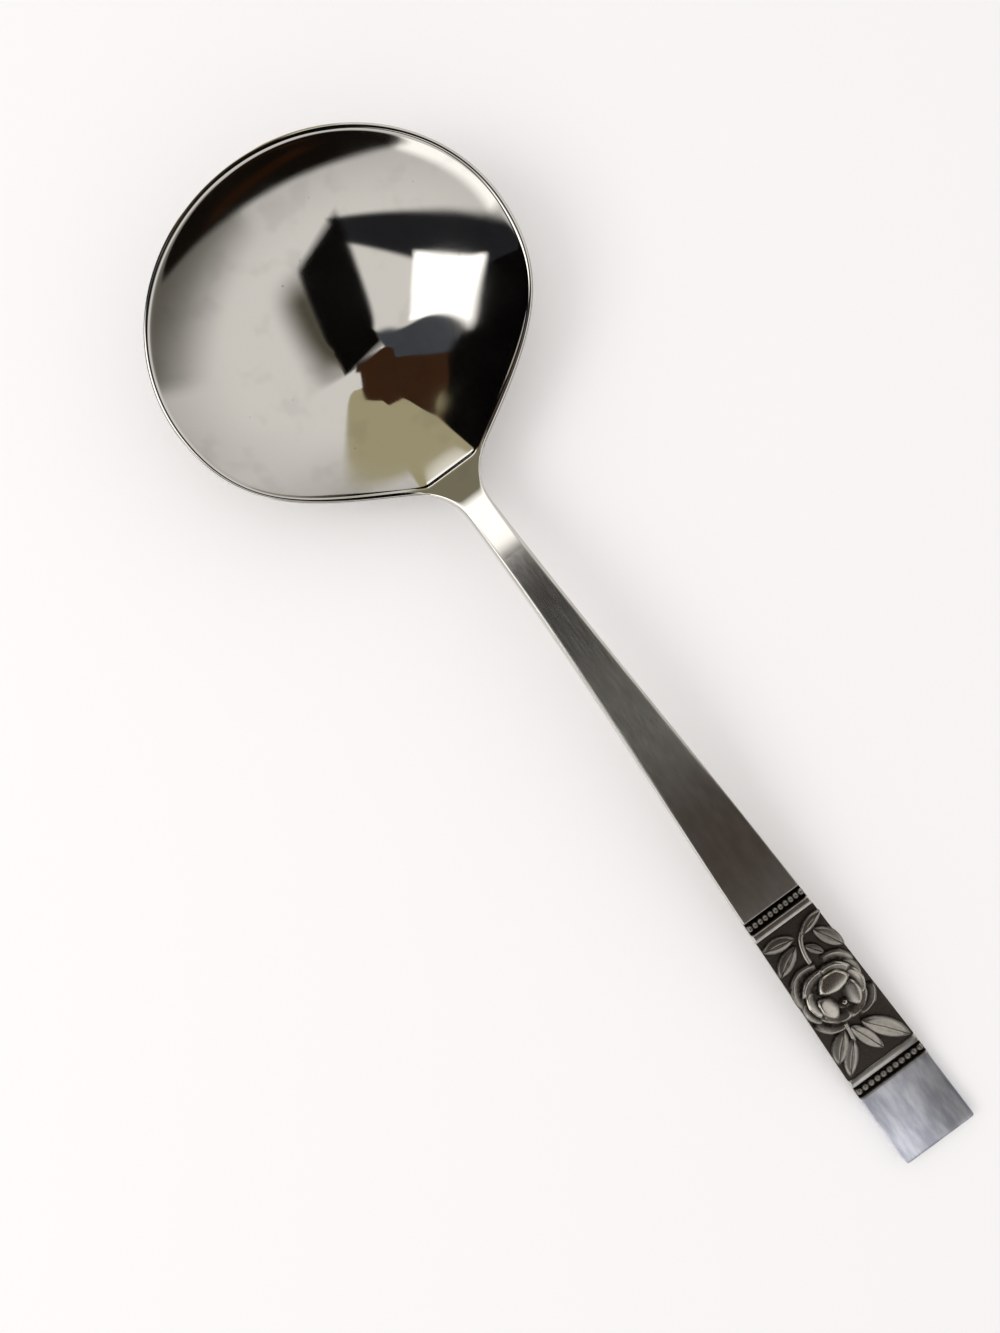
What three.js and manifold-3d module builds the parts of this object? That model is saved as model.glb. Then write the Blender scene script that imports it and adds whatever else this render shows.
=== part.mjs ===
// Gravy ladle in stainless steel: a drawn, mirror-polished bowl whose straight shoulders close in on a neck,
// and a tapering satin handle that carries a rose in relief between two beaded borders.
// Millimetres, +Z up. The origin is the centre of the flat under the bowl, the handle runs towards -Y and
// X = 0 is the middle plane. The ladle rests on the flat under its bowl and on the level end of its handle.
// A "run" is a distance from the origin along the handle, so a point at run r has y = -r.

import * as THREE from "three";
import { mergeVertices } from "three/addons/utils/BufferGeometryUtils.js";
import Module from "manifold-3d";

const { degToRad, lerp, smoothstep } = THREE.MathUtils;

// Bowl
const BOWL_HALF_WIDTH = 28.85;
const WIDEST_Y = 3.2;
const FAR_LENGTH = 25; // from the widest place to the far rim
const SIDE_ROUNDNESS = 13.3; // pull of the rim's curve at the widest place
const SHOULDER_ROUNDNESS = 15.3; // pull of the rim's curve at the straight shoulder
const RIM_HEIGHT = 14; // at the widest place
const RIM_TILT = degToRad(10.8); // the rim rises away from the handle
const RIM_ROUND = 0.35;
const BOWL_WALL = 1.2;
const NEAR_ARC = degToRad(18); // the wall's section beside the handle is nearly a parabola
const FAR_ARC = degToRad(50); // at the far side it is rounder and steeper
const ARC_SHARES = [-0.3, 0.9]; // shares of the way to the far rim between which it changes
const BASE_FLAT_RADIUS = 6;

// Neck
const NECK_RUN = 29.5; // where the shoulder fillets have run out into the shank
const NECK_HALF_WIDTH = 2.2;
const NECK_THICKNESS = 2.6;
const NECK_FILLET = 8;
const NECK_RISE = degToRad(15); // climb of the shoulder as it leaves the bowl
const SHOULDER_ANGLE = degToRad(61); // between the handle's axis and the straight shoulder
const SHOULDER_THICKNESS = 1.6;
const CREASE_HALF_WIDTH = 4.4; // straight crease where the bowl turns out into the shoulder
const POLISH_BORDER_RUN = 38; // where mirror polish gives way to satin

// Handle
const HANDLE_END_RUN = 148.5;
const TIP_LENGTH = 12.8;
const TIP_LEVEL = 6; // the tip's last stretch lies level
const TIP_HALF_WIDTH = 6.48;
const TIP_THICKNESS = 2;
const TIP_CORNER = 0.9;
const SHANK_EDGE = 0.75; // edge rounding at the neck
const TIP_EDGE = 0.3; // edge rounding at the tip

// Ornament, measured along the handle's sloping top
const ORNAMENT_SLOPE = degToRad(9.5);
const ORNAMENT_START_HALF_WIDTH = 5.05;
const ORNAMENT_END_HALF_WIDTH = 6.35;
const GROOVE_WIDTH = 2.2;
const GROOVE_DEPTH = 0.55;
const BAR_WIDTH = 1.4;
const PANEL_LENGTH = 27;
const PANEL_DEPTH = 0.6;
const GROUND_THICKNESS = 0.3;
const BEAD_RADIUS = 0.5;
const BEAD_NECK_RADIUS = 0.22;
const BEAD_COUNT = 11;
const SEAT_GAP = 0.1; // clearance of each seated ornament

// Relief, in heights above its foot
const SEPAL_HEIGHT = 0.15; // low disc that all the petals lie on
const OUTER_LIP = 0.45;
const MIDDLE_LIP = 0.7;
const INNER_LIP = 0.9; // the two crescents beside the bud
const HOOD_LIP = 1.05; // the broad petal over the bud
const PEARL_HEIGHT = 0.8;
const PETAL_HEART = 0.2; // petals sink to this towards the bud
const PETAL_CUP = 0.14; // hollow inside a petal's lip
const PETAL_ROLL_DEPTH = 0.3; // fall of the lip's rolled edge
const LEAF_HEIGHT = 0.65;
const LEAF_ROLL_DEPTH = 0.25;
const STEM_RADIUS = 0.4;
const LEAST_EDGE_HEIGHT = 0.05;

// Relief, in shares of the way from the middle of a petal or leaf to its edge
const PETAL_CLIMB_SHARES = [-0.8, 0.75]; // from the heart of the rose to the lip
const PETAL_CUP_SHARES = [0.4, 0.84];
const LEAF_EDGE_SHARES = [0.5, 0.84];
const LEAF_RIB_SHARES = [0.03, 0.16];
const LEAF_RIB_HEIGHT_SHARE = 0.7; // the rib stands lower than the edge
const LEAF_HOLLOW_HEIGHT_SHARE = 0.5; // and the hollows lower still
const LEAF_POINT_FACTOR = 0.6; // 0 is an oval, more is a sharper point
const ROLL_SHARES = [0.84, 1];
const RELIEF_REACH_SHARES = [1, 0.92, 0.84, 0.6, 0.3];

const RING_STEPS = 8; // points to each curve of the rim's outline
const SHOULDER_STEPS = 10;
const NECK_STEPS = 4;
const SHANK_STEPS = 20;
const TIP_STEPS = 4;
const RELIEF_SIDES = 14; // points round each petal and leaf
const STEM_STEPS = 10;
const BEAD_SIDES = 12;
const BOWL_STEPS = 11; // rings between the base and the rim
const CORNER_STEPS = 2; // facets to each rounded edge of the handle

const wasm = await Module();
wasm.setup();

// Closed mesh to solid, and back again
function toSolid(geometry) {
  const bare = geometry.clone();
  bare.deleteAttribute("normal");
  bare.deleteAttribute("uv");
  const merged = mergeVertices(bare, 1e-4);
  const vertProperties = new Float32Array(merged.attributes.position.array);
  const triVerts = new Uint32Array(merged.index.array);
  return new wasm.Manifold(new wasm.Mesh({ numProp: 3, vertProperties, triVerts }));
}

function toGeometry(solid) {
  const mesh = solid.getMesh();
  const geometry = new THREE.BufferGeometry();
  geometry.setAttribute("position", new THREE.BufferAttribute(new Float32Array(mesh.vertProperties), 3));
  geometry.setIndex(new THREE.BufferAttribute(new Uint32Array(mesh.triVerts), 1));
  geometry.computeVertexNormals();
  return geometry;
}

// Closed skin through a row of like rings, with a flat face at each end
function loft(rings) {
  const count = rings[0].length;
  const last = (rings.length - 1) * count;
  const index = [];
  for (let base = 0; base < last; base += count) {
    for (let k = 0; k < count; k++) {
      const a = base + k;
      const b = base + ((k + 1) % count);
      index.push(a, b, b + count, a, b + count, a + count);
    }
  }
  for (let k = 1; k + 1 < count; k++) {
    index.push(0, k + 1, k);
    index.push(last, last + k, last + k + 1);
  }
  const geometry = new THREE.BufferGeometry().setFromPoints(rings.flat());
  geometry.setIndex(index);
  return geometry;
}

// Cubic from one value and slope to another over a length
function ease(from, to, slopeFrom, slopeTo, length, at) {
  const u = at / length;
  const v = 1 - u;
  const start = from * (1 + 2 * u) + slopeFrom * length * u;
  const end = to * (1 + 2 * v) - slopeTo * length * v;
  return v * v * start + u * u * end;
}

// Half of the rim's outline, from the crease over the shoulder and the side to the far rim
const fillet = new THREE.Vector2(
  NECK_HALF_WIDTH + NECK_FILLET * (1 - Math.cos(SHOULDER_ANGLE)),
  -NECK_RUN + NECK_FILLET * Math.sin(SHOULDER_ANGLE),
);
const alongShoulder = new THREE.Vector2(Math.sin(SHOULDER_ANGLE), Math.cos(SHOULDER_ANGLE));

function shoulderEnd(inset) {
  const inwards = new THREE.Vector2(-alongShoulder.y, alongShoulder.x);
  return fillet.clone().addScaledVector(inwards, inset);
}

function creaseY(inset) {
  const end = shoulderEnd(inset);
  return end.y - ((end.x - CREASE_HALF_WIDTH) * alongShoulder.y) / alongShoulder.x;
}

function rimOutline(inset) {
  const end = shoulderEnd(inset);
  const pull = end.clone().addScaledVector(alongShoulder, SHOULDER_ROUNDNESS);
  const side = BOWL_HALF_WIDTH - inset;
  const half = new THREE.Path();
  half.moveTo(0, creaseY(inset));
  half.lineTo(CREASE_HALF_WIDTH, creaseY(inset));
  half.lineTo(end.x, end.y);
  half.bezierCurveTo(pull.x, pull.y, side, WIDEST_Y - SIDE_ROUNDNESS, side, WIDEST_Y);
  half.absellipse(0, WIDEST_Y, side, FAR_LENGTH - inset, 0, Math.PI / 2);
  const right = half.getPoints(RING_STEPS);
  const left = right.slice(1, -1).reverse();
  return [...right, ...left.map((point) => new THREE.Vector2(-point.x, point.y))];
}

function rimHeight(y) {
  return RIM_HEIGHT + Math.tan(RIM_TILT) * (y - WIDEST_Y);
}

// Low down the bowl is a plain oval, and only near the rim does it take on the shoulders
function ovalReach(y, inset) {
  return y > 0 ? WIDEST_Y + FAR_LENGTH - inset : -creaseY(inset);
}

function ovalPoint(point, inset) {
  const reach = ovalReach(point.y, inset);
  const size = Math.hypot(point.x / (BOWL_HALF_WIDTH - inset), point.y / reach);
  return point.clone().divideScalar(size);
}

// Share of the wall's height that is reached at a share of the way out, past the flat of the base
function wallClimb(spread, flat, farness) {
  const arc = lerp(NEAR_ARC, FAR_ARC, smoothstep(farness, ...ARC_SHARES));
  const drop = (share) => Math.cos(Math.asin(share * Math.sin(arc)));
  return (drop(flat) - drop(spread)) / (drop(flat) - drop(1));
}

// One level of the bowl, drawn in towards the base
function bowlRing(inset, floor, flat, spread) {
  return rimOutline(inset).map((point) => {
    const oval = ovalPoint(point, inset);
    const climb = wallClimb(spread, flat, oval.y / ovalReach(point.y, inset));
    const level = oval.lerp(point, climb ** 2).multiplyScalar(spread);
    const height = rimHeight(point.y) - RIM_ROUND;
    return new THREE.Vector3(level.x, level.y, lerp(floor, height, climb));
  });
}

function levelRing(outline, rise) {
  return outline.map((point) => new THREE.Vector3(point.x, point.y, rimHeight(point.y) + rise));
}

function bowlRings(inset, floor, startRadius) {
  const flat = startRadius / BOWL_HALF_WIDTH;
  const rings = [];
  for (let step = 0; step <= BOWL_STEPS; step++) {
    rings.push(bowlRing(inset, floor, flat, lerp(flat, 1, step / BOWL_STEPS)));
  }
  return rings;
}

// Side view of the handle: the height of its top, and its thickness below that
const ORNAMENT_LENGTH = 2 * (GROOVE_WIDTH + BAR_WIDTH) + PANEL_LENGTH;
const creaseRun = -creaseY(BOWL_WALL);
const ornamentEndRun = HANDLE_END_RUN - TIP_LENGTH;
const ornamentStartRun = ornamentEndRun - ORNAMENT_LENGTH * Math.cos(ORNAMENT_SLOPE);
const levelRun = HANDLE_END_RUN - TIP_LEVEL;
const fall = Math.tan(ORNAMENT_SLOPE);
const ornamentEndHeight = TIP_THICKNESS + (fall * (levelRun - ornamentEndRun)) / 2;
const ornamentStartHeight = ornamentEndHeight + fall * (ornamentEndRun - ornamentStartRun);

function handleTop(run) {
  if (run > levelRun) return TIP_THICKNESS;
  if (run > ornamentEndRun) {
    const left = levelRun - run;
    return TIP_THICKNESS + (fall * left * left) / (2 * (levelRun - ornamentEndRun));
  }
  if (run > ornamentStartRun) return ornamentEndHeight + fall * (ornamentEndRun - run);
  const length = ornamentStartRun - creaseRun;
  const climb = Math.tan(NECK_RISE);
  return ease(rimHeight(-creaseRun), ornamentStartHeight, climb, -fall, length, run - creaseRun);
}

function handleThickness(run) {
  if (run < NECK_RUN) return lerp(SHOULDER_THICKNESS, NECK_THICKNESS, smoothstep(run, creaseRun, NECK_RUN));
  return lerp(NECK_THICKNESS, TIP_THICKNESS, Math.min(1, (run - NECK_RUN) / (levelRun - NECK_RUN)));
}

// Plan of the handle: shoulder fillet, slow taper of the shank, straight ornament and tip
function handleHalfWidth(run) {
  const filletRun = -fillet.y;
  if (run < NECK_RUN) {
    const back = NECK_RUN - Math.max(run, filletRun);
    return NECK_HALF_WIDTH + NECK_FILLET - Math.sqrt(NECK_FILLET ** 2 - back ** 2);
  }
  const ornamentRun = ornamentEndRun - ornamentStartRun;
  const taper = (ORNAMENT_END_HALF_WIDTH - ORNAMENT_START_HALF_WIDTH) / ornamentRun;
  if (run < ornamentStartRun) {
    const length = ornamentStartRun - NECK_RUN;
    return ease(NECK_HALF_WIDTH, ORNAMENT_START_HALF_WIDTH, 0, taper, length, run - NECK_RUN);
  }
  if (run < ornamentEndRun) return ORNAMENT_START_HALF_WIDTH + taper * (run - ornamentStartRun);
  return lerp(ORNAMENT_END_HALF_WIDTH, TIP_HALF_WIDTH, (run - ornamentEndRun) / TIP_LENGTH);
}

// One section across the handle: a flat bar with rounded edges, drawn in where the tip's corners are round
function handleRing(run, drawIn = 0) {
  const edge = lerp(SHANK_EDGE, TIP_EDGE, smoothstep(run, NECK_RUN, ornamentStartRun));
  const side = handleHalfWidth(run) - drawIn - edge;
  const top = handleTop(run) - edge;
  const bottom = handleTop(run) - handleThickness(run) + edge;
  const corners = [
    [side, top, 0],
    [-side, top, 1],
    [-side, bottom, 2],
    [side, bottom, 3],
  ];
  return corners.flatMap(([x, z, quarter]) => {
    const arc = [];
    for (let step = 0; step <= CORNER_STEPS; step++) {
      const angle = (quarter + step / CORNER_STEPS) * (Math.PI / 2);
      arc.push(new THREE.Vector3(x + edge * Math.cos(angle), -run, z + edge * Math.sin(angle)));
    }
    return arc;
  });
}

function handleRings(from, to, steps) {
  const rings = [];
  for (let step = 0; step <= steps; step++) {
    rings.push(handleRing(lerp(from, to, step / steps)));
  }
  return rings;
}

// Bowl: the outer form and the neck in one, hollowed by the inner form
function makeBowl() {
  const innerInset = BOWL_WALL;
  const clearAbove = 6;
  const shell = bowlRings(0, 0, BASE_FLAT_RADIUS);
  shell.push(levelRing(rimOutline(RIM_ROUND), 0));
  const hollow = bowlRings(innerInset, BOWL_WALL, BASE_FLAT_RADIUS / 3);
  hollow.push(levelRing(rimOutline(innerInset - RIM_ROUND), 0));
  hollow.push(levelRing(rimOutline(innerInset - RIM_ROUND), clearAbove));
  const insideRun = creaseRun - BOWL_WALL;
  const neck = [
    handleRing(insideRun),
    ...handleRings(-fillet.y, NECK_RUN, SHOULDER_STEPS),
    ...handleRings(NECK_RUN, POLISH_BORDER_RUN, NECK_STEPS).slice(1),
  ];
  const whole = toSolid(loft(shell)).add(toSolid(loft(neck)));
  return toGeometry(whole.subtract(toSolid(loft(hollow))));
}

// The ornament's own frame: x across, y up the slope towards the bowl, z out of the handle's top
const ornament = new THREE.Group();
const ornamentMidRun = (ornamentStartRun + ornamentEndRun) / 2;
ornament.position.set(0, -ornamentMidRun, handleTop(ornamentMidRun));
ornament.rotation.x = ORNAMENT_SLOPE;
ornament.updateMatrix();

const panelTop = PANEL_LENGTH / 2;
const grooveMid = panelTop + BAR_WIDTH + GROOVE_WIDTH / 2;

function ornamentHalfWidth(y) {
  return handleHalfWidth(ornamentMidRun - y * Math.cos(ORNAMENT_SLOPE));
}

// Handle: a lofted bar with the panel and the two bead grooves sunk across its top
function sunkAcross(y, width, depth) {
  const sink = new THREE.BoxGeometry(3 * TIP_HALF_WIDTH, width, 2 * depth);
  sink.translate(0, y, 0);
  return toSolid(sink.applyMatrix4(ornament.matrix));
}

function makeHandle() {
  const rings = [
    ...handleRings(POLISH_BORDER_RUN, ornamentStartRun, SHANK_STEPS),
    ...handleRings(ornamentStartRun, ornamentEndRun, TIP_STEPS).slice(1),
    ...handleRings(ornamentEndRun, levelRun, TIP_STEPS).slice(1),
  ];
  const cornerSteps = 4;
  for (let step = 0; step <= cornerSteps; step++) {
    const angle = (step / cornerSteps) * (Math.PI / 2);
    const run = HANDLE_END_RUN - TIP_CORNER * (1 - Math.sin(angle));
    rings.push(handleRing(run, TIP_CORNER * (1 - Math.cos(angle))));
  }
  const sunk = toSolid(loft(rings))
    .subtract(sunkAcross(grooveMid, GROOVE_WIDTH, GROOVE_DEPTH))
    .subtract(sunkAcross(-grooveMid, GROOVE_WIDTH, GROOVE_DEPTH))
    .subtract(sunkAcross(0, PANEL_LENGTH, PANEL_DEPTH));
  return toGeometry(sunk);
}

// Panel ground: a thin plate on the sunk floor, tapered with the handle
function makeGround() {
  const end = panelTop - SEAT_GAP;
  const wide = ornamentHalfWidth(-end);
  const narrow = ornamentHalfWidth(end);
  const outline = new THREE.Shape();
  outline.moveTo(-wide, -end);
  outline.lineTo(wide, -end);
  outline.lineTo(narrow, end);
  outline.lineTo(-narrow, end);
  outline.closePath();
  const plate = new THREE.ExtrudeGeometry(outline, { depth: GROUND_THICKNESS, bevelEnabled: false });
  return plate.translate(0, 0, SEAT_GAP - PANEL_DEPTH);
}

// Bead border: a beaded wire turned about X and cut to half round, lying in its groove
function makeBeadBorder(y) {
  const half = ornamentHalfWidth(y);
  const pitch = (2 * half) / BEAD_COUNT;
  const beadSteps = 4;
  const profile = [new THREE.Vector2(0, -half)];
  for (let bead = 0; bead < BEAD_COUNT; bead++) {
    const middle = -half + (bead + 0.5) * pitch;
    for (let step = 0; step <= beadSteps; step++) {
      const angle = (step / beadSteps) * Math.PI;
      const swell = lerp(BEAD_NECK_RADIUS, BEAD_RADIUS, Math.sin(angle));
      profile.push(new THREE.Vector2(swell, middle - (pitch / 2) * Math.cos(angle)));
    }
    if (bead + 1 < BEAD_COUNT) profile.pop();
  }
  profile.push(new THREE.Vector2(0, half));
  const wire = new THREE.LatheGeometry(profile, BEAD_SIDES).rotateZ(-Math.PI / 2);
  const belowMiddle = new THREE.BoxGeometry(4 * half, 4 * BEAD_RADIUS, 2 * BEAD_RADIUS);
  belowMiddle.translate(0, 0, -BEAD_RADIUS);
  const halfRound = toSolid(wire).subtract(toSolid(belowMiddle));
  return toGeometry(halfRound).translate(0, y, SEAT_GAP - GROOVE_DEPTH);
}

// Places on the panel are shares of half its length, across and towards the bowl
function onPanel([across, along]) {
  return new THREE.Vector2(across, along).multiplyScalar(panelTop);
}

// A petal or leaf in relief: rings from its outline inwards, raised by its rise, with a wall down to its foot
function reliefBlade(at, turn, length, width, pointed, rise) {
  const ringAt = (reach, lifted) =>
    Array.from({ length: RELIEF_SIDES }, (_, k) => {
      const angle = (k / RELIEF_SIDES) * 2 * Math.PI;
      const along = reach * Math.cos(angle);
      const across = reach * Math.sin(angle);
      const narrowing = Math.abs(Math.sin(angle)) ** pointed;
      const plan = new THREE.Vector2((along * length) / 2, (across * narrowing * width) / 2);
      plan.rotateAround(new THREE.Vector2(), turn).add(at);
      const height = lifted ? Math.max(LEAST_EDGE_HEIGHT, rise(along, across, reach)) : 0;
      return new THREE.Vector3(plan.x, plan.y, height);
    });
  return toSolid(loft([ringAt(1, false), ...RELIEF_REACH_SHARES.map((reach) => ringAt(reach, true))]));
}

// A rose petal is broad: its far edge is a rolled lip, and it sinks towards the heart of the rose
function petal([across, along, towards, length, width], lip, heart, grow) {
  const rise = (out, _, reach) => {
    const fall = lerp(heart, lip, smoothstep(out, ...PETAL_CLIMB_SHARES)) + grow;
    const cup = PETAL_CUP * (1 - smoothstep(reach, ...PETAL_CUP_SHARES));
    return fall - cup - PETAL_ROLL_DEPTH * smoothstep(reach, ...ROLL_SHARES) ** 2;
  };
  const long = length * panelTop + 2 * grow;
  const wide = width * panelTop + 2 * grow;
  return reliefBlade(onPanel([across, along]), degToRad(towards), long, wide, 0, rise);
}

// A leaf is pointed, with a raised edge and a rib along its middle
function leaf(base, tip, width) {
  const start = onPanel(base);
  const run = onPanel(tip).sub(start);
  const rise = (_, across, reach) => {
    const rib = LEAF_RIB_HEIGHT_SHARE * (1 - smoothstep(Math.abs(across), ...LEAF_RIB_SHARES));
    const raised = Math.max(smoothstep(reach, ...LEAF_EDGE_SHARES), rib);
    const roll = LEAF_ROLL_DEPTH * smoothstep(reach, ...ROLL_SHARES) ** 2;
    return LEAF_HEIGHT * lerp(LEAF_HOLLOW_HEIGHT_SHARE, 1, raised) - roll;
  };
  const middle = start.addScaledVector(run, 0.5);
  return reliefBlade(middle, run.angle(), run.length(), width * panelTop, LEAF_POINT_FACTOR, rise);
}

// A stem is a round wire along a curve, sunk to half its depth
function stem(points) {
  const path = new THREE.CatmullRomCurve3(points.map(onPanel).map(({ x, y }) => new THREE.Vector3(x, y, 0)));
  const round = new THREE.Shape().absarc(0, 0, STEM_RADIUS, 0, 2 * Math.PI);
  const settings = { steps: STEM_STEPS, curveSegments: 4, bevelEnabled: false, extrudePath: path };
  return toSolid(new THREE.ExtrudeGeometry(round, settings));
}

function joined(solids) {
  return solids.reduce((whole, next) => whole.add(next));
}

// Everything in relief is cut flat where it stands on the ground
const groundTop = SEAT_GAP - PANEL_DEPTH + GROUND_THICKNESS;

function standOnGround(solid) {
  const under = new THREE.BoxGeometry(3 * TIP_HALF_WIDTH, PANEL_LENGTH, PANEL_DEPTH);
  under.translate(0, 0, -PANEL_DEPTH / 2);
  return toGeometry(solid.subtract(toSolid(under))).translate(0, 0, groundTop + SEAT_GAP);
}

// Rose: outer petals low and spread, inner ones raised round an open bud with a pearl in it.
// Each petal is its place, the way that its lip faces in degrees, its length and its width.
const OUTER_PETAL_SHARES = [
  [-0.178, 0.341, 100, 0.267, 0.385],
  [-0.311, 0.222, 160, 0.252, 0.4],
  [0.244, 0.289, 48, 0.281, 0.4],
  [0.333, 0.111, 5, 0.222, 0.326],
  [0.237, -0.259, 308, 0.296, 0.459],
  [-0.222, -0.281, 235, 0.281, 0.43],
  [-0.326, -0.052, 190, 0.207, 0.341],
];
const MIDDLE_PETAL_SHARES = [
  [-0.141, 0.215, 115, 0.237, 0.356],
  [0.141, 0.207, 62, 0.237, 0.341],
  [0.252, -0.022, -5, 0.237, 0.356],
  [-0.237, 0.015, 178, 0.207, 0.341],
  [-0.126, -0.23, 238, 0.207, 0.356],
  [0.141, -0.244, 300, 0.207, 0.341],
];
const INNER_PETAL_SHARES = [
  [-0.133, -0.111, 195, 0.237, 0.304],
  [0.156, -0.126, -12, 0.237, 0.311],
];
const SEPAL_SHARES = [0, 0.015, 90, 0.785, 0.711];
const HOOD_SHARES = [0.052, 0.126, 268, 0.259, 0.37];
const BUD_SHARES = [0.011, -0.17, 250, 0.126, 0.141];
const PEARL_SHARES = [0.027, -0.152, 90, 0.063, 0.063];

function bloom(grow) {
  const ring = (petals, lip) => petals.map((each) => petal(each, lip, PETAL_HEART, grow));
  return joined([
    petal(SEPAL_SHARES, SEPAL_HEIGHT, SEPAL_HEIGHT, grow),
    ...ring(OUTER_PETAL_SHARES, OUTER_LIP),
    ...ring(MIDDLE_PETAL_SHARES, MIDDLE_LIP),
    ...ring(INNER_PETAL_SHARES, INNER_LIP),
    petal(HOOD_SHARES, HOOD_LIP, PEARL_HEIGHT, grow),
    petal(BUD_SHARES, OUTER_LIP, PETAL_HEART, grow),
    petal(PEARL_SHARES, PEARL_HEIGHT, PEARL_HEIGHT, grow),
  ]);
}

// Each leaf runs from its base to its tip, and has a width
function makeUpperSpray() {
  const spray = joined([
    stem([[-0.03, 0.46], [-0.015, 0.607], [0.044, 0.763], [0.096, 0.807]]),
    leaf([-0.015, 0.807], [-0.385, 0.889], 0.193),
    leaf([0.067, 0.793], [0.393, 0.904], 0.141),
    leaf([0.215, 0.77], [0.4, 0.4], 0.193),
    leaf([0.03, 0.667], [0.17, 0.459], 0.126),
    leaf([-0.052, 0.726], [-0.4, 0.519], 0.207),
    stem([[-0.09, 0.71], [-0.04, 0.7], [0.02, 0.7]]),
    stem([[-0.07, 0.815], [0, 0.8], [0.09, 0.8]]),
    stem([[0.1, 0.81], [0.17, 0.79], [0.24, 0.74]]),
  ]);
  return standOnGround(spray.subtract(bloom(SEAT_GAP)));
}

function makeLowerSpray() {
  const spray = joined([
    stem([[-0.16, -0.5], [-0.07, -0.48], [0.09, -0.5]]),
    leaf([-0.163, -0.437], [-0.437, -0.741], 0.222),
    leaf([-0.126, -0.578], [-0.407, -0.941], 0.193),
    leaf([-0.074, -0.444], [0.089, -0.889], 0.193),
    leaf([0.059, -0.459], [0.422, -0.948], 0.237),
    stem([[-0.1, -0.47], [-0.115, -0.535], [-0.15, -0.63]]),
  ]);
  return standOnGround(spray.subtract(bloom(SEAT_GAP)));
}

function makePiece(name, geometry, color, roughness) {
  const material = new THREE.MeshStandardMaterial({ color, roughness, metalness: 1 });
  const mesh = new THREE.Mesh(geometry, material);
  mesh.name = name;
  return mesh;
}

const MIRROR_STEEL = "#dcdad5";
const SATIN_STEEL = "#b4b1a9";
const RELIEF_STEEL = "#a39d93";
const BLACKENED_STEEL = "#352e28";

ornament.add(
  makePiece("panel_ground", makeGround(), BLACKENED_STEEL, 0.6),
  makePiece("rose_bloom", standOnGround(bloom(0)), RELIEF_STEEL, 0.3),
  makePiece("upper_leaf_spray", makeUpperSpray(), RELIEF_STEEL, 0.3),
  makePiece("lower_leaf_spray", makeLowerSpray(), RELIEF_STEEL, 0.3),
  makePiece("upper_bead_border", makeBeadBorder(grooveMid), RELIEF_STEEL, 0.3),
  makePiece("lower_bead_border", makeBeadBorder(-grooveMid), RELIEF_STEEL, 0.3),
);

const ladle = new THREE.Group();
ladle.add(
  makePiece("bowl", makeBowl(), MIRROR_STEEL, 0.06),
  makePiece("handle", makeHandle(), SATIN_STEEL, 0.35),
  ornament,
);

export default ladle;
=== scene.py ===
from math import asin, atan2, copysign, cos, pi, radians, sin, sqrt, tan

import bmesh
import bpy
from mathutils import Matrix, Vector


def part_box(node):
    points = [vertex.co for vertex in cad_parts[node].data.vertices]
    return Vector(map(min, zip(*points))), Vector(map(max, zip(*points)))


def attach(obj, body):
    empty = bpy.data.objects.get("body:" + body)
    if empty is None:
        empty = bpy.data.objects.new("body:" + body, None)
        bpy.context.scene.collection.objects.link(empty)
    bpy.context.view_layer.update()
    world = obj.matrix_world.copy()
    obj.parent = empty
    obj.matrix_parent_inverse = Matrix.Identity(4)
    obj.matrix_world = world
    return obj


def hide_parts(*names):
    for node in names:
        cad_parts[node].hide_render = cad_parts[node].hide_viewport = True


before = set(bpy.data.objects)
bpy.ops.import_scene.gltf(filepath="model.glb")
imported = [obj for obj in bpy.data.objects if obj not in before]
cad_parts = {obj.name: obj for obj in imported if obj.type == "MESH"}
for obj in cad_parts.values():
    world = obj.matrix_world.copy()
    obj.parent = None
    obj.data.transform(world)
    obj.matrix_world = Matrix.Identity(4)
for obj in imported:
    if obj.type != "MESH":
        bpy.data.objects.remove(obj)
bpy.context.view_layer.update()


# Blank. The ladle is struck and drawn from one blank of stainless steel: the bowl is drawn with its
# shoulders, the handle is bent to a low arch and struck with its ornament. Nothing is joined, so one mesh is
# made, in millimetres, and parted where the bowl's mirror polish gives way to the handle's satin.
MM = 0.001
bowl_low, bowl_high = (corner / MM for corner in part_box("bowl"))
handle_low, handle_high = (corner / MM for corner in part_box("handle"))

# Shoulders, each a straight edge from a rounded side of the bowl to the fillet of the neck. The crease lies
# between them, where the inside of the bowl turns over onto the neck.
wall = 1.2
neck_run = 29.5
neck_half = 2.2
neck_fillet = 8.0
shoulder_angle = radians(61)
crease_half = 4.4
shoulder_dir = Vector((sin(shoulder_angle), cos(shoulder_angle)))
fillet_start = Vector((neck_half + neck_fillet * (1 - cos(shoulder_angle)),
                       neck_fillet * sin(shoulder_angle) - neck_run))


def shoulder_end(inset):
    return fillet_start + inset * Vector((-shoulder_dir.y, shoulder_dir.x))


def crease_y(inset):
    end = shoulder_end(inset)
    return end.y - (end.x - crease_half) * shoulder_dir.y / shoulder_dir.x


# Rim: level from side to side, and rising from the neck to the far end
widest_y = 3.2
rim_height = 14.0
rim_tilt = radians(10.8)


def rim_top(y):
    return rim_height + tan(rim_tilt) * (y - widest_y)


# Handle: a low arch that widens slowly, then the sloping ornament, then the tip, which lies level. A run is a
# distance from the middle of the bowl towards the tip.
end_run = -handle_low.y
tip_length = 12.8
tip_level = 6.0
tip_half = handle_high.x
tip_thick = 2.0
neck_thick = 2.6
neck_rise = radians(15)
shoulder_thick = 1.6
slope = radians(9.5)
ornament_start_half = 5.05
ornament_end_half = 6.35
groove_width = 2.2
bar_width = 1.4
panel_length = 27.0

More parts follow.
